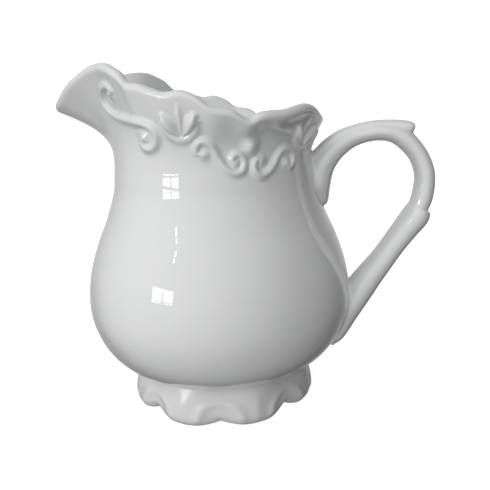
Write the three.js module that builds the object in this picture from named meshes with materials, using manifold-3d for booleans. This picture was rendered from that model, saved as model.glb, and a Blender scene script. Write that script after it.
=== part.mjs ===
// A white porcelain cream jug: round belly, waisted neck, scalloped rim with a raised pouring lip,
// a looped handle, an eight-lobed foot and moulded scrolls, palmettes and buds under the rim.
// Millimetres, +Z up, standing on z = 0. The spout points along -X and the handle along +X.
import * as THREE from 'three';
import { mergeVertices } from 'three/addons/utils/BufferGeometryUtils.js';
import Module from 'manifold-3d';

const wasm = await Module();
wasm.setup();

// Driving dimensions. A bearing is in degrees round the jug's own axis, from 0 at the spout by 90
// at the -Y side to 180 at the handle. The +Y side mirrors the -Y side.
const AXIS_X = -8.85;         // the jug's axis, so that the origin is under the middle of the whole
const JOINT_GAP = 0.3;        // clearance that stands for a fired slip joint
const WALL = 2.6;             // thickness of the cast wall
const LIP = 2.8;              // thickness of the rounded rim
const NECK_RADIUS = 30;       // about where the ornament lies
const NECK_RISE = 10;         // how far the neck climbs straight before it leans out
const BODY_COLUMNS = 72;      // how finely the wall is drawn round, up the belly and up the neck
const BELLY_STEPS = 16;
const NECK_STEPS = 10;

// Belly outline from under the base up to the neck: radius and height.
const BELLY = [
  [3, 4.3], [9, 4.9], [15, 6.3], [21.5, 9], [28, 12.2], [33.5, 17.6], [36.6, 24.3], [37.5, 31],
  [36.5, 39], [33.9, 47], [30.8, 54], [28.35, 61.3], [27.85, 65],
];

// The rim down one side: bearing, outermost radius, top, lean of the wall out from upright,
// and the length over which it leans out.
const RIM = [
  [0, 43.3, 85.6, 67, 12],
  [5, 42.8, 86.0, 66, 12],
  [10, 41.0, 87.5, 62, 11.8],
  [16, 38.5, 90.2, 55, 11.4],
  [22, 36.0, 92.1, 46, 11],
  [29, 33.7, 93.7, 37, 11],
  [36, 32.3, 94.3, 30, 11],
  [43, 31.9, 94.1, 26, 11],
  [48, 31.8, 93.2, 24, 11],
  [54, 31.7, 91.6, 22, 10],
  [59, 31.6, 89.2, 20, 10],
  [64, 31.6, 88.8, 18, 10],
  [70, 31.5, 87.8, 18, 9],
  [77, 31.4, 86.6, 14, 9],
  [84, 31.4, 86.9, 15, 9],
  [91, 31.5, 85.6, 18, 8],
  [97, 31.6, 83.3, 23, 7],
  [106, 31.6, 82.3, 31, 6],
  [113, 31.5, 80.3, 38, 5],
  [119, 31.8, 81.5, 45, 4.8],
  [130, 32.0, 81.8, 50, 4.5],
  [143, 32.0, 83.0, 48, 4.5],
  [151, 31.7, 82.6, 45, 4.6],
  [162, 31.0, 80.9, 36, 5],
  [172, 30.5, 80.2, 30, 5.6],
  [180, 30.4, 80.0, 28, 6],
];

// The foot: eight lobes, with a cusp between each two that lifts off the table, less so in the
// middle of each side of the jug.
const FOOT = {
  lobes: 8, turn: 3.4, outer: 26.6, tuck: 0.9, inner: 20, cusp: 2.5, shallow: 1.1, columns: 80,
};

const PORCELAIN = { color: 0xf1f1ee, roughness: 0.09, metalness: 0 };
const BISQUE = { color: 0xe9e6df, roughness: 0.35, metalness: 0 };

const radians = THREE.MathUtils.degToRad;
const vec = (x, y) => new THREE.Vector2(x, y);

// A point on the jug from its bearing, its radius from the axis and its height.
function place(bearing, radius, height) {
  const turn = radians(bearing);
  return new THREE.Vector3(AXIS_X - radius * Math.cos(turn), -radius * Math.sin(turn), height);
}

// Smooth value of one column of a station table, level at both ends.
function between(table, column, at) {
  const last = table.length - 1;
  const slope = (i) => (i === 0 || i === last ? 0
    : (table[i + 1][column] - table[i - 1][column]) / (table[i + 1][0] - table[i - 1][0]));
  const next = Math.max(1, table.findIndex((row) => row[0] >= at));
  const span = table[next][0] - table[next - 1][0];
  const t = (at - table[next - 1][0]) / span;
  const rise = table[next][column] - table[next - 1][column];
  const bend = t * (1 - t) * (span * slope(next - 1) * (1 - t) - span * slope(next) * t);
  return table[next - 1][column] + rise * t * t * (3 - 2 * t) + bend;
}

// Skins rings of equal length into one closed body. A ring follows the one before it; the two
// ends are closed by fans, or joined to each other when the rings go right round.
function skin(rings, goesRound = false) {
  const size = rings[0].length;
  const points = rings.flat();
  const faces = [];
  const quads = goesRound ? rings.length : rings.length - 1;
  for (let i = 0; i < quads; i += 1) {
    const here = i * size;
    const there = ((i + 1) % rings.length) * size;
    for (let j = 0; j < size; j += 1) {
      const k = (j + 1) % size;
      faces.push(here + j, here + k, there + k, here + j, there + k, there + j);
    }
  }
  if (!goesRound) {
    [[0, 1], [rings.length - 1, -1]].forEach(([ring, way]) => {
      const middle = new THREE.Vector3();
      rings[ring].forEach((point) => middle.addScaledVector(point, 1 / size));
      points.push(middle);
      for (let j = 0; j < size; j += 1) {
        const edge = [ring * size + j, ring * size + ((j + 1) % size)];
        if (way > 0) edge.reverse();
        faces.push(edge[0], edge[1], points.length - 1);
      }
    });
  }
  const shape = new THREE.BufferGeometry().setFromPoints(points);
  shape.setIndex(faces);
  return faceOut(shape);
}

// Turns every face over when the body's volume comes out negative.
function faceOut(shape) {
  const [a, b, c] = [0, 1, 2].map(() => new THREE.Vector3());
  const at = shape.getAttribute('position');
  const index = shape.getIndex();
  let volume = 0;
  for (let i = 0; i < index.count; i += 3) {
    [a, b, c].forEach((corner, k) => corner.fromBufferAttribute(at, index.getX(i + k)));
    volume += a.dot(b.cross(c));
  }
  if (volume < 0) {
    for (let i = 0; i < index.count; i += 3) {
      const first = index.getX(i);
      index.setX(i, index.getX(i + 2));
      index.setX(i + 2, first);
    }
  }
  return shape;
}

// Boolean work: a geometry becomes a solid and comes back as a geometry.
function solid(shape) {
  const bare = new THREE.BufferGeometry();
  bare.setAttribute('position', shape.getAttribute('position').clone());
  bare.setIndex(shape.getIndex());
  const merged = mergeVertices(bare, 1e-4);
  return new wasm.Manifold(new wasm.Mesh({
    numProp: 3,
    vertProperties: new Float32Array(merged.getAttribute('position').array),
    triVerts: new Uint32Array(merged.getIndex().array),
  }));
}

function fromSolid(body) {
  const { vertProperties, triVerts } = body.getMesh();
  const shape = new THREE.BufferGeometry();
  shape.setAttribute('position', new THREE.BufferAttribute(new Float32Array(vertProperties), 3));
  shape.setIndex(new THREE.BufferAttribute(new Uint32Array(triVerts), 1));
  return shape;
}

const joined = (shapes) => fromSolid(shapes.map(solid).reduce((whole, next) => whole.add(next)));

// ---- The wall of the jug ----

const bellyCurve = new THREE.SplineCurve(BELLY.map(([radius, height]) => vec(radius, height)));
const BELLY_ROWS = bellyCurve.getSpacedPoints(BELLY_STEPS);

// The stretch of wall from the neck to the rim at one bearing, as a curve of radius and height.
function neckCurve(bearing) {
  const side = Math.abs(((bearing + 540) % 360) - 180);
  const [radius, top, leanDegrees, sweep] = [1, 2, 3, 4].map((column) => between(RIM, column, side));
  const lean = radians(leanDegrees);
  const out = vec(Math.sin(lean), Math.cos(lean));
  const start = BELLY_ROWS.at(-1);
  const edge = vec(radius - LIP / 2 * (1 - Math.cos(lean)), top - LIP / 2 * (1 + Math.sin(lean)));
  const climb = bellyCurve.getTangent(1).multiplyScalar(NECK_RISE);
  return new THREE.CubicBezierCurve(start, start.clone().add(climb),
    edge.clone().addScaledVector(out, -sweep), edge);
}

// The wall's outside, as rows from under the base to the rim.
function outerRows(bearing) {
  return [...BELLY_ROWS.slice(0, -1), ...neckCurve(bearing).getPoints(NECK_STEPS)];
}

// Moves a row of points square to itself: outwards for a positive distance.
function offsetRows(rows, distance) {
  return rows.map((point, i) => {
    const along = rows[Math.min(i + 1, rows.length - 1)].clone().sub(rows[Math.max(i - 1, 0)]);
    along.normalize();
    return vec(point.x + along.y * distance(i), point.y - along.x * distance(i));
  });
}

// One column of the body: up the outside, over the rounded rim and down the inside.
function bodyColumn(bearing) {
  const outside = outerRows(bearing);
  const toRim = (i) => THREE.MathUtils.smoothstep(i, BELLY_ROWS.length, outside.length - 3);
  const inside = offsetRows(outside, (i) => -WALL - (LIP - WALL) * toRim(i));
  const [edge, rim] = [outside.at(-1), inside.at(-1)];
  const middle = edge.clone().add(rim).multiplyScalar(0.5);
  const spoke = edge.clone().sub(middle);
  const lip = [45, 90, 135].map((turn) => middle.clone().add(
    vec(spoke.x, spoke.y).rotateAround(vec(0, 0), radians(turn)),
  ));
  return [...outside, ...lip, ...inside.reverse()];
}

function bodyShape() {
  const columns = Array.from({ length: BODY_COLUMNS }, (_, i) => {
    const bearing = i * 360 / BODY_COLUMNS;
    return bodyColumn(bearing).map((point) => place(bearing, point.x, point.y));
  });
  const rings = columns[0].map((_, row) => columns.map((column) => column[row]));
  return skin(rings);
}

// The space that the wall fills, grown by the joint's clearance, for trimming what is luted to it.
function bodyBlank() {
  const columns = Array.from({ length: BODY_COLUMNS }, (_, i) => {
    const bearing = i * 360 / BODY_COLUMNS;
    const rows = offsetRows(outerRows(bearing), () => JOINT_GAP);
    return rows.map((point) => place(bearing, point.x, point.y));
  });
  return skin(columns[0].map((_, row) => columns.map((column) => column[row])));
}

// Point of the outer wall at a bearing and height, pushed off the wall by a clearance.
function onWall(bearing, height, clearance) {
  const curve = neckCurve(bearing);
  let [low, high] = [0, 1];
  for (let i = 0; i < 30; i += 1) {
    const t = (low + high) / 2;
    if (curve.getPoint(t).y < height) low = t;
    else high = t;
  }
  const point = curve.getPoint(low);
  const along = curve.getTangent(low);
  return place(bearing, point.x + along.y * clearance, point.y - along.x * clearance);
}

// ---- The foot ----

// Height of the body's underside at a radius, by looking along the belly outline.
function undersideAt(radius) {
  const rows = bellyCurve.getPoints(200);
  return rows.find((point) => point.x >= radius).y;
}

function footSection(bearing) {
  const lobe = 360 / FOOT.lobes;
  const across = ((bearing - FOOT.turn + 360) % lobe) / lobe * 2 - 1;
  const cusp = FOOT.cusp - FOOT.shallow * Math.sin(radians(bearing)) ** 6;
  const bottom = cusp * Math.max(0, (Math.abs(across) - 0.25) / 0.75) ** 1.9;
  const outer = FOOT.outer - FOOT.tuck * (1 - Math.cos(Math.PI * across)) / 2;
  const top = (radius) => undersideAt(radius) - 1.3 * JOINT_GAP;
  return [
    [FOOT.inner, top(FOOT.inner)], [FOOT.inner + 0.2, bottom + 1.4], [FOOT.inner + 0.9, bottom],
    [outer - 1.5, bottom], [outer - 0.5, bottom + 0.8], [outer, bottom * 0.6 + 3],
    [outer - 0.4, 6.3], [outer - 1.1, 8.8], [24.7, top(24.7)], [22.4, top(22.4)],
  ].map(([radius, height]) => place(bearing, radius, height));
}

function footShape() {
  const turns = Array.from({ length: FOOT.columns }, (_, i) => i * 360 / FOOT.columns);
  return skin(turns.map(footSection), true);
}

// ---- The handle ----

// Stations along each arm: distance from the jug's axis, height, half thickness in the handle's
// plane and half width across it.
const HANDLE_LOOP = [
  [28.6, 55.8, 2.9, 3.9], [28.8, 57.8, 3.2, 4.6], [28.8, 60.9, 3.6, 5.6], [29.4, 64.9, 3.8, 5.6],
  [31, 68, 3.6, 5.2], [33.9, 71, 3.2, 4.5], [37.8, 73.3, 2.7, 4.1], [41.8, 74.4, 2.4, 4],
  [45.4, 74.8, 2.4, 4], [49.1, 74.3, 2.5, 4], [52.3, 72.6, 2.7, 4], [55.6, 69, 2.6, 4],
  [57.5, 65.1, 2.7, 4], [58.1, 61.5, 2.8, 4], [57.6, 56.8, 2.9, 3.8], [56.3, 53.3, 2.8, 3.7],
  [54.7, 50.1, 2.6, 3.6],
];
const HANDLE_LEAF = [
  [27, 65.7, 2, 4], [28.8, 68.8, 1.8, 3.9], [31.6, 72, 1.5, 3.6], [35.2, 74.4, 1.4, 3.1],
  [39.3, 75.8, 1.3, 2.8], [43.7, 76.6, 1.3, 2.6], [48.4, 76.6, 1.4, 2.6], [52, 76, 1.7, 2.8],
  [53.9, 75.6, 1.6, 2.6], [54.8, 75.3, 1, 1.8],
];
const HANDLE_SHEATH = [
  [57.1, 53.7, 3.1, 4.3], [56.6, 52.7, 3.6, 4.7], [55.6, 50.9, 3.8, 4.8], [53.4, 48, 3.6, 4.5],
  [49.8, 43, 3.4, 4.3], [46.8, 38.7, 3.5, 4.4], [43.2, 33.9, 3.9, 4.8], [40.5, 30, 4.1, 5.4],
  [37, 24.4, 4, 5.8], [35.2, 20.2, 3.4, 5.4], [34, 16.6, 2.5, 4.4], [33.4, 14.5, 1.4, 3],
];

// An oval bar through stations in the handle's plane.
function bar(stations, steps, sides) {
  const line = new THREE.CatmullRomCurve3(
    stations.map(([x, z]) => new THREE.Vector3(x, 0, z)), false, 'centripetal',
  );
  const last = stations.length - 1;
  const size = (t, column) => {
    const i = Math.min(Math.floor(t * last), last - 1);
    return THREE.MathUtils.lerp(stations[i][column], stations[i + 1][column], t * last - i);
  };
  return skin(Array.from({ length: steps + 1 }, (_, i) => {
    const t = i / steps;
    const middle = line.getPoint(t);
    const along = line.getTangent(t);
    const up = new THREE.Vector3(-along.z, 0, along.x);
    return Array.from({ length: sides }, (__, j) => {
      const turn = j / sides * 2 * Math.PI;
      return middle.clone().addScaledVector(up, size(t, 2) * Math.sin(turn))
        .add(new THREE.Vector3(AXIS_X, size(t, 3) * Math.cos(turn), 0));
    });
  }));
}

function handleShape() {
  const whole = joined([bar(HANDLE_LOOP, 32, 12), bar(HANDLE_LEAF, 13, 8), bar(HANDLE_SHEATH, 17, 12)]);
  return fromSolid(solid(whole).subtract(solid(bodyBlank())));
}

// ---- Moulded ornament ----

// Cross-section of a ribbon: how far to each side and how high, as shares of its size.
const RIBBON = [[-1, 0], [-0.65, 0.78], [0, 1], [0.65, 0.78], [1, 0]];

// A raised ribbon lying on the wall along a line of bearings and heights. The profile gives the
// share of its full width and height at each share of its length.
function ribbon(points, { half, raise, steps, profile = scrollProfile }) {
  const line = new THREE.SplineCurve(points.map(([bearing, height]) => vec(bearing, height)));
  const degree = radians(NECK_RADIUS);
  return skin(Array.from({ length: steps + 1 }, (_, i) => {
    const at = line.getPoint(i / steps);
    const way = line.getTangent(i / steps);
    const along = vec(way.x * degree, way.y).normalize();
    const across = vec(-along.y / degree, along.x);
    const { width, lift } = profile(i / steps);
    return RIBBON.map(([side, high]) => {
      const spot = at.clone().addScaledVector(across, side * half * width);
      return onWall(spot.x, spot.y, JOINT_GAP + high * raise * lift);
    });
  }));
}

// Even for most of the length, drawn in over the first and last sixth.
function scrollProfile(t) {
  const end = Math.min(1, Math.min(t, 1 - t) * 6);
  return { width: 0.45 + 0.55 * end, lift: 0.4 + 0.6 * end };
}

// A petal, fullest at a third of its length.
function petalProfile(t) {
  const full = Math.sin(Math.PI * Math.min(1, 0.08 + 0.92 * t) ** 0.75);
  return { width: 0.15 + 0.85 * Math.max(0, full), lift: 0.3 + 0.7 * Math.max(0, full) };
}

const SPOUT_SCROLL = [
  [42.6, 86.9], [45.2, 87.6], [43.6, 88.7], [39.4, 88.9], [34.6, 88], [31.4, 86.2], [31.4, 84.4],
  [34.6, 82.7], [41, 81.6], [49, 80.9], [57.5, 80.3], [64, 79.7], [68.4, 78.6], [69.8, 76.9],
  [68.6, 75], [65.2, 73.8], [61.2, 74.2], [60.4, 75.6], [62.4, 76.4],
];
const FRONT_SCROLL = [
  [92.5, 72.1], [89.2, 72.7], [89.7, 74.5], [92.8, 75.3], [96.7, 74.1], [99.5, 71.2], [102.7, 68.9],
  [106.8, 67.6], [110.8, 67.9], [112.4, 69.8], [110.8, 71.6], [107.6, 71.8], [106.2, 70.6],
  [107.6, 69.8],
];
const REAR_SCROLL = [
  [121.4, 70.1], [119, 70.4], [117.4, 69.1], [118, 67.5], [120.8, 66.6], [124.7, 67.1],
  [128.8, 68.9], [132, 71.1], [136, 72.4], [140.4, 71.9], [142.6, 70.3], [141.8, 68.6],
  [139.2, 67.9], [137.2, 69],
];
const BUD = [[115.7, 75.8], [115.5, 73.8], [115.2, 71.8]];
const HANDLE_SPRAY = [[172, 75.6], [169.6, 73.4], [166.6, 71]];

// A palmette is two petals and a spike in a cup, drawn about its own middle line.
const PALMETTE_PETAL = [[7, 2.4], [5.6, 0.9], [3.6, -0.6], [1.4, -1.8]];
const PALMETTE_SPIKE = [[0.4, 5], [0.4, 1.4], [0, -2.6]];
const PALMETTE_CUP = [
  [8.2, 1.2], [6.8, -1], [3.8, -2.5], [0, -3], [-3.8, -2.5], [-6.8, -1], [-8.2, 1.2],
];

function palmette(bearing, height, side) {
  const put = (points, flip) => points.map(
    ([across, up]) => [bearing + side * flip * across, height + up],
  );
  const petal = { half: 1.5, raise: 1.7, steps: 8, profile: petalProfile };
  return joined([
    ribbon(put(PALMETTE_CUP, 1), { half: 0.9, raise: 1.2, steps: 16 }),
    ribbon(put(PALMETTE_PETAL, 1), petal),
    ribbon(put(PALMETTE_PETAL, -1), petal),
    ribbon(put(PALMETTE_SPIKE, 1), { half: 0.9, raise: 1.1, steps: 7, profile: petalProfile }),
  ]);
}

// The ornament of one side, by name; the other side is its mirror image.
function ornament() {
  const thin = { half: 0.95, raise: 1.3, steps: 32 };
  return {
    spout_scroll: ribbon(SPOUT_SCROLL, { half: 1.1, raise: 1.3, steps: 38 }),
    front_palmette: palmette(82.8, 78.7, 1),
    front_scroll: ribbon(FRONT_SCROLL, thin),
    bud: ribbon(BUD, { half: 1.8, raise: 1.7, steps: 7, profile: petalProfile }),
    rear_scroll: ribbon(REAR_SCROLL, thin),
    rear_palmette: palmette(152, 74.8, -1),
    handle_spray: ribbon(HANDLE_SPRAY, { half: 1.2, raise: 0.9, steps: 7, profile: petalProfile }),
  };
}

function mirrored(shape) {
  const other = shape.clone();
  other.scale(1, -1, 1);
  return faceOut(other);
}

// ---- The whole jug ----

const jug = new THREE.Group();

function add(name, shape, look) {
  const piece = new THREE.Mesh(shape, new THREE.MeshStandardMaterial(look));
  piece.name = name;
  jug.add(piece);
}

add('body', bodyShape(), PORCELAIN);
add('foot', footShape(), BISQUE);
add('handle', handleShape(), PORCELAIN);
Object.entries(ornament()).forEach(([name, shape]) => {
  add(`${name}_left`, shape, PORCELAIN);
  add(`${name}_right`, mirrored(shape), PORCELAIN);
});

export default jug;
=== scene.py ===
"""A white porcelain cream jug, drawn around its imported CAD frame.

Shapes are worked out in millimetres and turned into metres when a mesh is made. A bearing is in
degrees round the jug's own axis: 0 at the spout, 90 on the -Y side, 180 at the handle. The +Y
side mirrors the -Y side.
"""

import math

import bpy
import numpy as np
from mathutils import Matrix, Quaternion, Vector


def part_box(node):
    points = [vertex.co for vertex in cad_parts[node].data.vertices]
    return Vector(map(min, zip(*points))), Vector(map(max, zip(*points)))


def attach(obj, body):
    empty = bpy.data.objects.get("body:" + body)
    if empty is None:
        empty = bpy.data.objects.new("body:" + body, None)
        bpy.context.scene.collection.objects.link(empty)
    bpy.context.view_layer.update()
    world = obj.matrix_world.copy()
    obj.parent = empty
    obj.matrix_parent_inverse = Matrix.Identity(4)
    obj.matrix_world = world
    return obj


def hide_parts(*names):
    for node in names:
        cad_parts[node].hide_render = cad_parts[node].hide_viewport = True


MM = 0.001
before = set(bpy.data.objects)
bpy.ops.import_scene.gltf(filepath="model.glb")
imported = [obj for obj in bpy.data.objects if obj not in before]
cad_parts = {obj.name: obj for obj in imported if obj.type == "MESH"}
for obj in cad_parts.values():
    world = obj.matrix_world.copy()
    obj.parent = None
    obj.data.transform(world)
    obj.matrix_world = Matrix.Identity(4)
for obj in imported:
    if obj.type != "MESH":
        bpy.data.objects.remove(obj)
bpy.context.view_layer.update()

foot_low, foot_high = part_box("foot")
AXIS_X = (foot_low[0] + foot_high[0]) / 2 / MM  # the jug's own axis

WALL = 2.6  # thickness of the cast wall
LIP = 2.8  # thickness of the rounded rim
NECK_RISE = 10  # how far the neck climbs straight before it leans out

# Belly outline from under the base up to the neck: radius and height.
BELLY = [
    (3, 4.3), (9, 4.9), (15, 6.3), (21.5, 9), (28, 12.2), (33.5, 17.6), (36.6, 24.3), (37.5, 31),
    (36.5, 39), (33.9, 47), (30.8, 54), (28.35, 61.3), (27.85, 65),
]  # fmt: skip

# The rim down one side: bearing, outermost radius, top, lean of the wall out from upright, and
# the length over which it leans out.
RIM = np.array([
    (0, 43.3, 85.6, 67, 12), (5, 42.8, 86.0, 66, 12), (10, 41.0, 87.5, 62, 11.8),
    (16, 38.5, 90.2, 55, 11.4), (22, 36.0, 92.1, 46, 11), (29, 33.7, 93.7, 37, 11),
    (36, 32.3, 94.3, 30, 11), (43, 31.9, 94.1, 26, 11), (48, 31.8, 93.2, 24, 11),
    (54, 31.7, 91.6, 22, 10), (59, 31.6, 89.2, 20, 10), (64, 31.6, 88.8, 18, 10),
    (70, 31.5, 87.8, 18, 9), (77, 31.4, 86.6, 14, 9), (84, 31.4, 86.9, 15, 9),
    (91, 31.5, 85.6, 18, 8), (97, 31.6, 83.3, 23, 7), (106, 31.6, 82.3, 31, 6),
    (113, 31.5, 80.3, 38, 5), (119, 31.8, 81.5, 45, 4.8), (130, 32.0, 81.8, 50, 4.5),
    (143, 32.0, 83.0, 48, 4.5), (151, 31.7, 82.6, 45, 4.6), (162, 31.0, 80.9, 36, 5),
    (172, 30.5, 80.2, 30, 5.6), (180, 30.4, 80.0, 28, 6),
])  # fmt: skip

# The foot: eight lobes, with a cusp between each two that lifts off the table, less so in the
# middle of each side of the jug.
LOBES = 8
FOOT_TURN = 3.4
FOOT_OUTER = 26.6
FOOT_TUCK = 0.9
FOOT_INNER = 20
FOOT_CUSP = 2.5
FOOT_SHALLOW = 1.1

# Arms of the handle: distance from the axis, height, half thickness, half width.
HANDLE_LOOP = [
    (28.6, 55.8, 2.9, 3.9), (28.8, 57.8, 3.2, 4.6), (28.8, 60.9, 3.6, 5.6), (29.4, 64.9, 3.8, 5.6),
    (31, 68, 3.6, 5.2), (33.9, 71, 3.2, 4.5), (37.8, 73.3, 2.7, 4.1), (41.8, 74.4, 2.4, 4),
    (45.4, 74.8, 2.4, 4), (49.1, 74.3, 2.5, 4), (52.3, 72.6, 2.7, 4), (55.6, 69, 2.6, 4),
    (57.5, 65.1, 2.7, 4), (58.1, 61.5, 2.8, 4), (57.6, 56.8, 2.9, 3.8), (56.3, 53.3, 2.8, 3.7),
    (54.7, 50.1, 2.6, 3.6),
]  # fmt: skip
HANDLE_LEAF = [
    (27, 65.7, 2, 4), (28.8, 68.8, 1.8, 3.9), (31.6, 72, 1.5, 3.6), (35.2, 74.4, 1.4, 3.1),
    (39.3, 75.8, 1.3, 2.8), (43.7, 76.6, 1.3, 2.6), (48.4, 76.6, 1.4, 2.6), (52, 76, 1.7, 2.8),
    (53.9, 75.6, 1.6, 2.6), (54.8, 75.3, 1, 1.8),
]  # fmt: skip
HANDLE_SHEATH = [
    (57.1, 53.7, 3.1, 4.3), (56.6, 52.7, 3.6, 4.7), (55.6, 50.9, 3.8, 4.8), (53.4, 48, 3.6, 4.5),
    (49.8, 43, 3.4, 4.3), (46.8, 38.7, 3.5, 4.4), (43.2, 33.9, 3.9, 4.8), (40.5, 30, 4.1, 5.4),
    (37, 24.4, 4, 5.8), (35.2, 20.2, 3.4, 5.4), (34, 16.6, 2.5, 4.4), (33.4, 14.5, 1.4, 3),
]  # fmt: skip

# Middle lines of the moulded ornament on the -Y side: bearing and height.
SPOUT_SCROLL = [
    (42.6, 86.9), (45.2, 87.6), (43.6, 88.7), (39.4, 88.9), (34.6, 88), (31.4, 86.2), (31.4, 84.4),
    (34.6, 82.7), (41, 81.6), (49, 80.9), (57.5, 80.3), (64, 79.7), (68.4, 78.6), (69.8, 76.9),
    (68.6, 75), (65.2, 73.8), (61.2, 74.2), (60.4, 75.6), (62.4, 76.4),
]  # fmt: skip
FRONT_SCROLL = [
    (92.5, 72.1), (89.2, 72.7), (89.7, 74.5), (92.8, 75.3), (96.7, 74.1), (99.5, 71.2),
    (102.7, 68.9), (106.8, 67.6), (110.8, 67.9), (112.4, 69.8), (110.8, 71.6), (107.6, 71.8),
    (106.2, 70.6), (107.6, 69.8),
]  # fmt: skip
REAR_SCROLL = [
    (121.4, 70.1), (119, 70.4), (117.4, 69.1), (118, 67.5), (120.8, 66.6), (124.7, 67.1),
    (128.8, 68.9), (132, 71.1), (136, 72.4), (140.4, 71.9), (142.6, 70.3), (141.8, 68.6),
    (139.2, 67.9), (137.2, 69),
]  # fmt: skip
BUD = [(115.6, 74.1), (115.5, 73.7), (115.4, 73.3)]
HANDLE_SPRAY = [(172, 75.6), (169.6, 73.4), (166.6, 71)]

# A palmette is two petals and a spike in a cup, drawn about its own middle line.
PALMETTE_PETAL = [(7, 2.4), (5.6, 0.9), (3.6, -0.6), (1.4, -1.8)]
PALMETTE_SPIKE = [(0.4, 5), (0.4, 1.4), (0, -2.6)]
PALMETTE_CUP = [(8.2, 1.2), (6.8, -1), (3.8, -2.5), (0, -3), (-3.8, -2.5), (-6.8, -1), (-8.2, 1.2)]


# ---- Curves and meshes ----


def through(points, count):
    """A Catmull-Rom curve through rows of numbers, as that many rows."""
    p = np.array(points, float)
    p = np.vstack([2 * p[0] - p[1], p, 2 * p[-1] - p[-2]])
    at = np.linspace(0, len(points) - 1, count)
    i = np.minimum(at.astype(int), len(points) - 2)
    t = (at - i)[:, None]
    a, b, c, d = p[i], p[i + 1], p[i + 2], p[i + 3]
    square = 2 * a - 5 * b + 4 * c - d
    cube = 3 * b - a - 3 * c + d
    return 0.5 * (2 * b + (c - a) * t + square * t**2 + cube * t**3)


def rim_value(column, bearing):
    """One column of the rim table at any bearings, smooth between stations."""
    side = np.abs((np.asarray(bearing, float) + 540) % 360 - 180)
    x, y = RIM[:, 0], RIM[:, column]
    slope = np.zeros(len(x))
    slope[1:-1] = (y[2:] - y[:-2]) / (x[2:] - x[:-2])
    i = np.clip(np.searchsorted(x, side) - 1, 0, len(x) - 2)
    span = x[i + 1] - x[i]
    t = (side - x[i]) / span
    rise = y[i + 1] - y[i]
    bend = t * (1 - t) * span * (slope[i] * (1 - t) - slope[i + 1] * t)
    return y[i] + rise * t * t * (3 - 2 * t) + bend


def place(bearing, radius, height):
    """Points on the jug from bearing, radius from the axis and height."""
    turn = np.radians(bearing)
    x = AXIS_X - radius * np.cos(turn)
    y = -radius * np.sin(turn)
    return np.stack(np.broadcast_arrays(x, y, height), axis=-1)


def make_mesh(name, points, faces, node, slot, material):
    """A named piece from points in millimetres, standing in for one CAD node."""
    mesh = bpy.data.meshes.new(name)
    mesh.from_pydata((np.asarray(points) * MM).tolist(), [], [tuple(f) for f in faces])
    mesh.validate()
    mesh.update()
    for polygon in mesh.polygons:
        polygon.use_smooth = True
    piece = bpy.data.objects.new(name, mesh)
    bpy.context.scene.collection.objects.link(piece)
    return dress(piece, node, material)


def dress(piece, node, material):
    """Gives a piece its material, hangs it under the root, and hides the CAD node it stands in for."""
    piece.data.materials.clear()
    piece.data.materials.append(material)
    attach(piece, "root")
    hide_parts(node)
    return piece


def rings_to_mesh(rings, goes_round=False):
    """Points and faces of a closed body skinned over rings; ends are closed by flat fans."""
    count, size = rings.shape[:2]
    points = rings.reshape(-1, 3)
    j = np.arange(size)
    k = (j + 1) % size
    faces = []
    for i in range(count if goes_round else count - 1):
        here, there = i * size, (i + 1) % count * size
        faces.extend(np.stack([here + j, here + k, there + k, there + j], axis=1).tolist())
    if not goes_round:
        middles = rings[[0, -1]].mean(axis=1)
        points = np.vstack([points, middles])
        last = (count - 1) * size
        faces.extend(np.stack([k, j, np.full(size, count * size)], axis=1).tolist())
        faces.extend(np.stack([last + j, last + k, np.full(size, count * size + 1)], axis=1).tolist())
    return points, faces


# ---- The wall of the jug ----

BELLY_FINE = through(BELLY, 1200)
BELLY_LENGTH = np.concatenate([[0], np.cumsum(np.linalg.norm(np.diff(BELLY_FINE, axis=0), axis=1))])
NECK_START = BELLY_FINE[-1]
NECK_WAY = (BELLY_FINE[-1] - BELLY_FINE[-2]) / np.linalg.norm(BELLY_FINE[-1] - BELLY_FINE[-2])


def belly(s):
    """Radius and height up the belly, s from 0 under the base to 1 at the neck."""
    along = np.asarray(s) * BELLY_LENGTH[-1]
    return tuple(np.interp(along, BELLY_LENGTH, BELLY_FINE[:, axis]) for axis in (0, 1))


def neck(bearing, t):
    """Radius and height up the neck, t from 0 at the belly to 1 at the rim."""
    radius, top, lean, sweep = (rim_value(column, bearing) for column in (1, 2, 3, 4))
    lean = np.radians(lean)
    edge = (radius - LIP / 2 * (1 - np.cos(lean)), top - LIP / 2 * (1 + np.sin(lean)))
    out = (np.sin(lean), np.cos(lean))
    result = []
    for axis in (0, 1):
        start = NECK_START[axis]
        climb = start + NECK_WAY[axis] * NECK_RISE
        result.append(
            start * (1 - t) ** 3
            + 3 * climb * t * (1 - t) ** 2
            + 3 * (edge[axis] - out[axis] * sweep) * t**2 * (1 - t)
            + edge[axis] * t**3
        )
    return tuple(result)


def neck_square(bearing, t):
    """Radius and height parts of the direction square to the neck, pointing out."""
    step = 1e-3
    low, high = neck(bearing, t - step), neck(bearing, t + step)
    dr, dz = high[0] - low[0], high[1] - low[1]
    length = np.hypot(dr, dz)
    return dz / length, -dr / length


def neck_at_height(bearing, height):
    """The t at which the neck reaches a height."""
    bearing, height = np.broadcast_arrays(np.asarray(bearing, float), np.asarray(height, float))
    low, high = np.zeros(bearing.shape), np.ones(bearing.shape)
    for _ in range(24):
        t = (low + high) / 2
        below = neck(bearing, t)[1] < height
        low, high = np.where(below, t, low), np.where(below, high, t)
    return low


def on_neck(bearing, t, lift):
    """Points on the neck, lifted square off it."""
    radius, height = neck(bearing, t)
    out_r, out_z = neck_square(bearing, t)
    return place(bearing, radius + out_r * lift, height + out_z * lift)


BODY_COLUMNS = 360
BELLY_ROWS = 68
NECK_ROWS = 64
LIP_ROWS = 10


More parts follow.
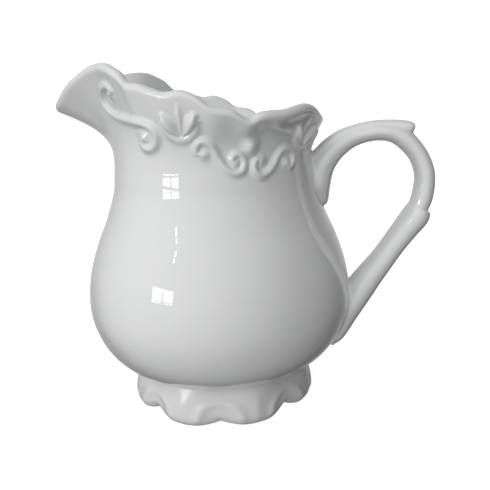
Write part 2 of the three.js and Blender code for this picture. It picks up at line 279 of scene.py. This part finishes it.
def body_rings():
    """Rings of the body: up the outside, over the rounded rim and down the inside."""
    bearing = np.arange(BODY_COLUMNS) * 360 / BODY_COLUMNS
    ones = np.ones(BODY_COLUMNS)
    rows = [tuple(value * ones for value in belly(s)) for s in np.linspace(0, 1, BELLY_ROWS)[:-1]]
    rows += [neck(bearing, t) for t in np.linspace(0, 1, NECK_ROWS)]
    outside = np.array(rows)  # row, radius or height, column
    along = np.gradient(outside, axis=0)
    along /= np.linalg.norm(along, axis=1, keepdims=True)
    toward_rim = np.clip((np.arange(len(rows)) - BELLY_ROWS) / (NECK_ROWS - 8), 0, 1)
    thick = (WALL + (LIP - WALL) * toward_rim)[:, None]
    inside = np.stack([outside[:, 0] - along[:, 1] * thick, outside[:, 1] + along[:, 0] * thick], axis=1)
    middle = (outside[-1] + inside[-1]) / 2
    spoke = outside[-1] - middle
    lip = []
    for turn in np.linspace(0, math.pi, LIP_ROWS + 2)[1:-1]:
        c, s = math.cos(turn), math.sin(turn)
        lip.append(middle + np.stack([spoke[0] * c - spoke[1] * s, spoke[0] * s + spoke[1] * c]))
    whole = np.concatenate([outside, np.array(lip), inside[::-1]])
    return np.stack([place(bearing, radius, height) for radius, height in whole])


# ---- Moulded relief ----

GRID = 0.13  # spacing of the points of a relief patch
REACH = 2.7  # how far a patch goes past its lines, as a share of the widest ridge's half width
PATCH_RADIUS = 28  # smallest and largest radius of the wall where relief lies
PATCH_RADIUS_OUT = 31
SINK = 0.008  # how far the feathered edge of a patch dips into the wall
RIM_CLEAR = 0.96  # share of the neck's height by which relief has faded out
RIM_FADE = 0.1  # share of the neck's height over which it fades
BACK = 0.7  # how far the back of a patch lies inside the wall
FULLNESS = 2.25  # how full a ridge's section is: 2 is a bell, more is boxier


def even(t):
    """A scroll's size along its length: even, drawn in a little at the ends."""
    end = np.clip(np.minimum(t, 1 - t) * 7, 0, 1)
    return 0.72 + 0.28 * end * end * (3 - 2 * end)


def round_spot(t):
    """A bead's size: the same all along."""
    return np.ones_like(t)


def leaf(t):
    """A petal's size along its length, fullest at a third of it."""
    return 0.25 + 0.75 * np.sin(math.pi * np.clip(0.1 + 0.9 * t, 0, 1) ** 0.75)


def on_wall_line(points, count):
    """A smooth line of points lying on the wall, from bearings and heights."""
    line = through(points, count)
    return on_neck(line[:, 0], neck_at_height(line[:, 0], line[:, 1]), 0)


def ridge(spots, points, half, rise, size):
    """Height of a rounded ridge along a line, at spots on the wall."""
    line = on_wall_line(points, 240)
    t = np.linspace(0, 1, len(line))
    nearest = np.full(len(spots), 1e9)
    where = np.zeros(len(spots), int)
    for i, point in enumerate(line):
        away = ((spots - point) ** 2).sum(axis=1)
        closer = away < nearest
        nearest[closer] = away[closer]
        where[closer] = i
    scale = size(t[where])
    return rise * scale**0.7 * np.exp(-((np.sqrt(nearest) / (0.86 * half * scale)) ** FULLNESS))


def blend(*heights):
    """Ridges that run into each other, with a soft crease between."""
    return sum(height**4 for height in heights) ** 0.25


def patch(name, ridges, material, side):
    """A piece of relief: a skin over its ridges that feathers into the wall all round."""
    lines = np.vstack([np.array(points, float) for points, *_ in ridges])
    reach = max(half for _, half, *_ in ridges) * REACH
    spread = math.degrees(reach / PATCH_RADIUS)
    low = lines.min(axis=0) - (spread, reach)
    high = lines.max(axis=0) + (spread, reach)
    bearings = np.arange(low[0], high[0], math.degrees(GRID / PATCH_RADIUS_OUT))
    t_low = neck_at_height(bearings, low[1]).min()
    t_high = neck_at_height(bearings, high[1]).max()
    rows = int((high[1] - low[1]) / GRID * 1.15)  # a little more, because the wall leans
    ts = np.linspace(max(t_low, 0.001), min(t_high, RIM_CLEAR), rows)
    bearing, t = (grid.ravel() for grid in np.meshgrid(bearings, ts, indexing="ij"))
    spots = on_neck(bearing, t, 0)
    lift = blend(*(ridge(spots, *shape) for shape in ridges))
    lift *= np.clip((RIM_CLEAR - t) / RIM_FADE, 0, 1) ** 0.5
    top = on_neck(bearing, t, lift - SINK)
    back = on_neck(bearing, t, -BACK)
    inside = (lift > SINK * 0.05).reshape(len(bearings), rows)
    quad = inside[:-1, :-1] & inside[1:, :-1] & inside[:-1, 1:] & inside[1:, 1:]
    faces = closed_faces(quad, rows, len(bearing))
    points = np.vstack([top, back])
    if side > 0:
        points[:, 1] *= -1
        faces = [face[::-1] for face in faces]
    used = np.unique(np.array(faces))
    renumber = np.zeros(len(points), int)
    renumber[used] = np.arange(len(used))
    return make_mesh(f"glazed_{name}", points[used], renumber[np.array(faces)], name, "relief", material)


def closed_faces(quad, rows, back):
    """Faces of a patch: its front, its back and the strip round its edge."""
    i, j = np.nonzero(quad)
    corner = i * rows + j
    front = np.stack([corner, corner + rows, corner + rows + 1, corner + 1], axis=1)
    faces = front.tolist() + (front[:, ::-1] + back).tolist()
    edges = np.concatenate([front[:, [k, (k + 1) % 4]] for k in range(4)])
    known = {tuple(edge) for edge in edges.tolist()}
    for a, b in edges.tolist():
        if (b, a) not in known:
            faces.append([b, a, a + back, b + back])
    return faces


def palmette(bearing, height, side):
    """A fan of two petals and a spike in a cup, leaning either way."""

    def put(points, flip=1):
        return [(bearing + side * flip * across, height + up) for across, up in points]

    return [
        (put(PALMETTE_CUP), 1.2, 0.6, even),
        (put(PALMETTE_PETAL), 1.5, 1.45, leaf),
        (put(PALMETTE_PETAL, -1), 1.5, 1.45, leaf),
        (put(PALMETTE_SPIKE), 0.8, 0.55, leaf),
    ]


def scroll(points, half, rise):
    """A scroll that ends in a bead at both ends."""
    ends = [([points[i], points[i]], half * 1.45, rise * 0.85, round_spot) for i in (0, -1)]
    return [(points, half, rise, even), *ends]


def ornament():
    """Each piece of relief on one side, as the ridges that make it up."""
    return {
        "spout_scroll": scroll(SPOUT_SCROLL, 1.25, 1.0),
        "front_palmette": palmette(82.8, 78.7, 1),
        "front_scroll": scroll(FRONT_SCROLL, 1.1, 0.85),
        "bud": [(BUD, 2.0, 1.6, round_spot)],
        "rear_scroll": scroll(REAR_SCROLL, 1.1, 0.85),
        "rear_palmette": palmette(152, 74.8, -1),
        "handle_spray": [(HANDLE_SPRAY, 1.2, 0.8, leaf)],
    }


# ---- The foot ----

FOOT_COLUMNS = 640
FOOT_ROWS = 72
ARCH_HALF = 6.3  # half span of the arch moulded over each cusp
ARCH_FROM = 1.2  # height that the arch springs from
ARCH_RISE = 6.4  # and how far it rises
ARCH_EDGE = 0.21  # how softly the arch's ridge falls away, as a share of its size
ARCH_HEIGHT = 0.42  # how far the arch stands out
ARCH_HOLLOW = 0.3  # how deep the hollow under it is
RIB_HEIGHT = 0.18  # the soft rib down the middle of a lobe
RIB_HALF = 1.4


def underside(radius):
    """Height of the body's underside at a radius."""
    widest = BELLY_FINE[:, 0].argmax()
    return np.interp(radius, BELLY_FINE[:widest, 0], BELLY_FINE[:widest, 1])


def foot_relief(bearing, height):
    """Raised arches over the cusps, with a hollow under each."""
    lobe = 360 / LOBES
    off = (bearing - FOOT_TURN + lobe / 2) % lobe - lobe / 2
    x = np.radians(off) * FOOT_OUTER / ARCH_HALF
    z = (height - ARCH_FROM) / ARCH_RISE
    ring = np.hypot(x, np.maximum(z, 0)) - 1
    fade = np.clip(height / 2.5, 0, 1) * np.clip((8.8 - height) / 2.5, 0, 1)
    rib = (np.abs(off) - lobe / 2) * 0.45
    return fade * (
        ARCH_HEIGHT * np.exp(-((ring / ARCH_EDGE) ** 2))
        - ARCH_HOLLOW * np.clip(-ring * 1.6, 0, 1) ** 1.5
        + RIB_HEIGHT * np.exp(-((rib / RIB_HALF) ** 2))
    )


def foot_rings():
    """Sections of the foot, one after another round the ring."""
    rings = []
    for bearing in np.arange(FOOT_COLUMNS) * 360 / FOOT_COLUMNS:
        lobe = 360 / LOBES
        across = (bearing - FOOT_TURN + 360) % lobe / lobe * 2 - 1
        cusp = FOOT_CUSP - FOOT_SHALLOW * math.sin(math.radians(bearing)) ** 6
        bottom = cusp * max(0, (abs(across) - 0.25) / 0.75) ** 1.9
        outer = FOOT_OUTER - FOOT_TUCK * (1 - math.cos(math.pi * across)) / 2
        section = [
            (FOOT_INNER, underside(FOOT_INNER) + 0.5), (FOOT_INNER + 0.1, 5),
            (FOOT_INNER + 0.3, bottom + 1.2), (FOOT_INNER + 1.1, bottom + 0.1), (FOOT_INNER + 2.6, bottom),
            (outer - 1.9, bottom), (outer - 0.9, bottom + 0.35), (outer - 0.25, bottom + 1.3),
            (outer, bottom * 0.6 + 3), (outer - 0.4, 6.3), (outer - 1.1, 8.7),
            (24.6, underside(24.6) + 0.5), (24, underside(24) + 1.1),
        ]  # fmt: skip
        rows = through(section, FOOT_ROWS)
        lift = foot_relief(bearing, rows[:, 1]) * np.clip(rows[:, 0] - FOOT_OUTER + 2.6, 0, 1)
        rings.append(place(bearing, rows[:, 0] + lift, np.maximum(rows[:, 1], bottom)))
    return np.array(rings)


# ---- The handle ----

HANDLE_SIDES = 48
VOXEL = 0.28  # how finely the arms are blended into one body
FILLET = 1.1  # how far the handle's clay is smoothed on to the wall
RISING_FROM = 17.6  # height from which the belly's outline is looked up by height


def arm(stations, count):
    """Rings of one oval arm."""
    x, z, thick, wide = through(stations, count).T
    along = np.stack([np.gradient(x), np.gradient(z)])
    along /= np.linalg.norm(along, axis=0)
    turn = np.arange(HANDLE_SIDES) / HANDLE_SIDES * 2 * math.pi
    lift = thick[:, None] * np.sin(turn)
    side = wide[:, None] * np.cos(turn)
    return np.stack(
        [AXIS_X + x[:, None] - along[1][:, None] * lift, side, z[:, None] + along[0][:, None] * lift],
        axis=-1,
    )


def blended_handle():
    """The three arms as one body, with soft creases where they meet."""
    points, faces = [], []
    for stations, count in ((HANDLE_LOOP, 220), (HANDLE_LEAF, 100), (HANDLE_SHEATH, 140)):
        arm_points, arm_faces = rings_to_mesh(arm(stations, count))
        start = sum(len(part) for part in points)
        points.append(arm_points)
        faces += [[index + start for index in face] for face in arm_faces]
    mesh = bpy.data.meshes.new("glazed_handle")
    mesh.from_pydata((np.vstack(points) * MM).tolist(), [], faces)
    piece = bpy.data.objects.new("glazed_handle", mesh)
    bpy.context.scene.collection.objects.link(piece)
    remesh = piece.modifiers.new("blend", "REMESH")
    remesh.mode = "VOXEL"
    remesh.voxel_size = VOXEL * MM
    smooth = piece.modifiers.new("soften", "SMOOTH")
    smooth.factor = 0.5
    smooth.iterations = 4
    apply_modifiers(piece)
    return piece


def apply_modifiers(piece):
    """Turns what the modifiers make into the piece's own mesh."""
    ready = piece.evaluated_get(bpy.context.evaluated_depsgraph_get())
    shaped = bpy.data.meshes.new_from_object(ready)
    piece.modifiers.clear()
    piece.data = shaped
    for polygon in shaped.polygons:
        polygon.use_smooth = True


def wall_gap(points):
    """Distance of points from the outer wall and the direction square to the wall there."""
    dx, dy = points[:, 0] - AXIS_X, points[:, 1]
    bearing = np.degrees(np.arctan2(-dy, -dx))
    height = points[:, 2]
    t = neck_at_height(bearing, height)
    on = neck(bearing, t)[0]
    square_r, square_z = neck_square(bearing, t)
    low = height < NECK_START[1]
    rising = BELLY_FINE[BELLY_FINE[:, 1] > RISING_FROM]
    below = np.interp(height, rising[:, 1], rising[:, 0])
    slope = np.interp(height, rising[:, 1], np.gradient(rising[:, 0], rising[:, 1]))
    length = np.hypot(1, slope)
    on = np.where(low, below, on)
    square_r = np.where(low, 1 / length, square_r)
    square_z = np.where(low, -slope / length, square_z)
    radius = np.hypot(dx, dy)
    square = np.stack([square_r * dx / radius, square_r * dy / radius, square_z], axis=1)
    return (radius - on) * square_r, square


def fillet_to_wall(piece):
    """Spreads the piece sideways close to the wall, as clay smoothed on to it."""
    mesh = piece.data
    count = len(mesh.vertices)
    points, normals = np.empty(count * 3), np.empty(count * 3)
    mesh.vertices.foreach_get("co", points)
    mesh.vertices.foreach_get("normal", normals)
    points, normals = points.reshape(-1, 3) / MM, normals.reshape(-1, 3)
    gap, square = wall_gap(points)
    flat = normals - (normals * square).sum(axis=1, keepdims=True) * square
    near = np.clip(gap / FILLET, 0, 1)
    spread = FILLET * (1 - np.sqrt(1 - (1 - near) ** 2))
    points += flat * spread[:, None]
    mesh.vertices.foreach_set("co", (points * MM).ravel())
    mesh.update()


# ---- Materials ----


def glaze(name, colour, roughness):
    """White porcelain under a clear glaze, faintly cloudy in its colour, its gloss and its skin."""
    material = bpy.data.materials.new(name)
    material.use_nodes = True
    nodes, links = material.node_tree.nodes, material.node_tree.links
    shader = nodes["Principled BSDF"]
    shader.inputs["IOR"].default_value = 1.52
    shader.inputs["Coat Weight"].default_value = 0.6
    shader.inputs["Coat Roughness"].default_value = roughness * 0.6
    shader.inputs["Coat IOR"].default_value = 1.5
    shader.inputs["Subsurface Weight"].default_value = 0.12
    shader.inputs["Subsurface Radius"].default_value = (0.0012, 0.001, 0.0009)
    shader.inputs["Subsurface Scale"].default_value = 1.0
    place_node = nodes.new("ShaderNodeTexCoord")
    cloud = nodes.new("ShaderNodeTexNoise")
    cloud.inputs["Scale"].default_value = 38
    cloud.inputs["Detail"].default_value = 3
    links.new(place_node.outputs["Object"], cloud.inputs["Vector"])
    tint = nodes.new("ShaderNodeMixRGB")
    tint.inputs["Color1"].default_value = (*colour, 1)
    tint.inputs["Color2"].default_value = (colour[0] * 0.965, colour[1] * 0.975, colour[2] * 0.97, 1)
    links.new(cloud.outputs["Fac"], tint.inputs["Fac"])
    links.new(tint.outputs["Color"], shader.inputs["Base Color"])
    gloss = nodes.new("ShaderNodeMapRange")
    gloss.inputs["To Min"].default_value = roughness * 0.8
    gloss.inputs["To Max"].default_value = roughness * 1.3
    links.new(cloud.outputs["Fac"], gloss.inputs["Value"])
    links.new(gloss.outputs["Result"], shader.inputs["Roughness"])
    skin = nodes.new("ShaderNodeTexNoise")
    skin.inputs["Scale"].default_value = 160
    skin.inputs["Detail"].default_value = 2
    links.new(place_node.outputs["Object"], skin.inputs["Vector"])
    bump = nodes.new("ShaderNodeBump")
    bump.inputs["Strength"].default_value = 0.05
    bump.inputs["Distance"].default_value = 0.0004
    links.new(skin.outputs["Fac"], bump.inputs["Height"])
    links.new(bump.outputs["Normal"], shader.inputs["Normal"])
    return material


def glowing(name, colour, strength):
    """A plain light-giving surface."""
    material = bpy.data.materials.new(name)
    material.use_nodes = True
    nodes, links = material.node_tree.nodes, material.node_tree.links
    nodes.clear()
    glow = nodes.new("ShaderNodeEmission")
    glow.inputs["Color"].default_value = (*colour, 1)
    glow.inputs["Strength"].default_value = strength
    out = nodes.new("ShaderNodeOutputMaterial")
    links.new(glow.outputs["Emission"], out.inputs["Surface"])
    return material


# ---- Building the jug ----

porcelain = glaze("porcelain", (0.78, 0.784, 0.78), 0.035)
# The foot's base colour is set darker than the body's: painted shade on the foot, not a glaze of another
# colour. Its rougher gloss is set here too.
foot_glaze_with_painted_shade = glaze("foot_ring", (0.72, 0.722, 0.712), 0.28)

make_mesh("glazed_body", *rings_to_mesh(body_rings()), "body", "porcelain", porcelain)
make_mesh("glazed_foot", *rings_to_mesh(foot_rings(), goes_round=True), "foot", "foot_ring", foot_glaze_with_painted_shade)
handle = blended_handle()
fillet_to_wall(handle)
dress(handle, "handle", porcelain)
for name, ridges in ornament().items():
    patch(f"{name}_left", ridges, porcelain, -1)
    patch(f"{name}_right", ridges, porcelain, 1)

# ---- Stage, light and camera ----


def card(name, middle, size, toward, material):
    """A flat card facing a point, for the lights."""
    mesh = bpy.data.meshes.new(name)
    w, h = size[0] / 2, size[1] / 2
    mesh.from_pydata([(-w, -h, 0), (w, -h, 0), (w, h, 0), (-w, h, 0)], [], [(0, 1, 2, 3)])
    mesh.materials.append(material)
    piece = bpy.data.objects.new(name, mesh)
    bpy.context.scene.collection.objects.link(piece)
    piece.location = middle
    piece.rotation_euler = (Vector(toward) - Vector(middle)).to_track_quat("Z", "Y").to_euler()
    return piece


def direction(azimuth, elevation):
    """A unit direction from degrees round from +X and degrees up."""
    a, e = math.radians(azimuth), math.radians(elevation)
    return Vector((math.cos(e) * math.cos(a), math.cos(e) * math.sin(a), math.sin(e)))


# The window's panes, in degrees as seen from the jug: where each column and row is, and its size.
WINDOW_COLUMNS = [(-138.3, 4.4), (-133.6, 4), (-126.2, 8)]
WINDOW_ROWS = [(8, 8.4), (2.4, 0.7)]
HIGH_PANES_AT = -125.6
HIGH_PANES = [(26.8, 1.7, 3.4), (30.6, 1.5, 2)]


def window(distance=1.2):
    """A casement to the left of the camera, seen in the glaze, with two small panes high up."""
    pane = glowing("pane", (0.96, 0.98, 1), 9)
    centre = Vector((AXIS_X * MM, 0, 0.05))

    def light(azimuth, elevation, wide, high):
        middle = centre + direction(azimuth, elevation) * distance
        size = (math.radians(wide) * distance, math.radians(high) * distance)
        piece = card("window_light", middle, size, centre, pane)
        piece.visible_diffuse = False

    for azimuth, wide in WINDOW_COLUMNS:
        for elevation, high in WINDOW_ROWS:
            light(azimuth, elevation, wide, high)
    for elevation, wide, high in HIGH_PANES:
        light(HIGH_PANES_AT, elevation, wide, high)


def floor():
    """A white table that runs into a white background, and softly takes the foot's shadow."""
    mesh = bpy.data.meshes.new("floor")
    reach = 3  # metres
    steps = 24
    rows = [(-reach, 0)] + [
        (reach + math.sin(turn) * reach, reach - math.cos(turn) * reach)
        for turn in np.linspace(0, math.pi / 2, steps)
    ] + [(2 * reach, 3 * reach)]
    points = [(x * side, y, z) for y, z in rows for x, side in ((3 * reach, -1), (3 * reach, 1))]
    faces = [(2 * i, 2 * i + 1, 2 * i + 3, 2 * i + 2) for i in range(len(rows) - 1)]
    mesh.from_pydata(points, [], faces)
    mesh.materials.append(pale_table())
    piece = bpy.data.objects.new("floor", mesh)
    bpy.context.scene.collection.objects.link(piece)
    piece.location.z = -0.02 * MM  # just clear of the standing edge
    piece.visible_diffuse = False
    piece.visible_glossy = False


def pale_table():
    """Matt white that is nearly as bright as the background."""
    material = bpy.data.materials.new("pale_table")
    material.use_nodes = True
    shader = material.node_tree.nodes["Principled BSDF"]
    shader.inputs["Base Color"].default_value = (0.5, 0.5, 0.5, 1)
    shader.inputs["Roughness"].default_value = 1
    shader.inputs["Specular IOR Level"].default_value = 0
    shader.inputs["Emission Color"].default_value = (1, 1, 1, 1)
    shader.inputs["Emission Strength"].default_value = 0.88
    return material


# The room's two soft sources: a direction, how the light falls away from it, between which
# cosines, and how bright it is.
ROOM = [
    (direction(-125, 28), "LINEAR", (-0.2, 1), 1.36),
    (direction(95, 5), "SMOOTHERSTEP", (0.35, 1.1), 0.7),
]


def surroundings():
    """A soft room: bright to the camera's left and a little above, dimmer behind, dark elsewhere."""
    world = bpy.data.worlds.new("room")
    bpy.context.scene.world = world
    world.use_nodes = True
    nodes, links = world.node_tree.nodes, world.node_tree.links
    background = nodes["Background"]
    coords = nodes.new("ShaderNodeTexCoord")
    levels = []
    for way, kind, (low, high), level in ROOM:
        aim = nodes.new("ShaderNodeVectorMath")
        aim.operation = "DOT_PRODUCT"
        aim.inputs[1].default_value = way
        links.new(coords.outputs["Generated"], aim.inputs[0])
        ramp = nodes.new("ShaderNodeMapRange")
        ramp.interpolation_type = kind
        ramp.inputs["From Min"].default_value = low
        ramp.inputs["From Max"].default_value = high
        ramp.inputs["To Min"].default_value = 0
        ramp.inputs["To Max"].default_value = level
        links.new(aim.outputs["Value"], ramp.inputs["Value"])
        levels.append(ramp.outputs["Result"])
    both = nodes.new("ShaderNodeMath")
    links.new(levels[0], both.inputs[0])
    links.new(levels[1], both.inputs[1])
    links.new(both.outputs["Value"], background.inputs["Strength"])
    background.inputs["Color"].default_value = (0.995, 0.995, 1, 1)
    bpy.context.scene.view_settings.view_transform = "Standard"


def camera():
    """At the height of the rim, a little to the handle's side, looking slightly down."""
    eye = Vector((AXIS_X + 21.135, -158.974, 82.025)) * MM
    aim = Vector((AXIS_X + 7.746, 0, 43.792)) * MM
    data = bpy.data.cameras.new("camera")
    data.sensor_width = 36
    data.lens = 41.49
    data.clip_start = 0.01
    piece = bpy.data.objects.new("camera", data)
    bpy.context.scene.collection.objects.link(piece)
    piece.location = eye
    look = (aim - eye).to_track_quat("-Z", "Y")
    piece.rotation_mode = "QUATERNION"
    piece.rotation_quaternion = look @ Quaternion((0, 0, 1), math.radians(-2.2))
    bpy.context.scene.camera = piece


window()
floor()
surroundings()
camera()
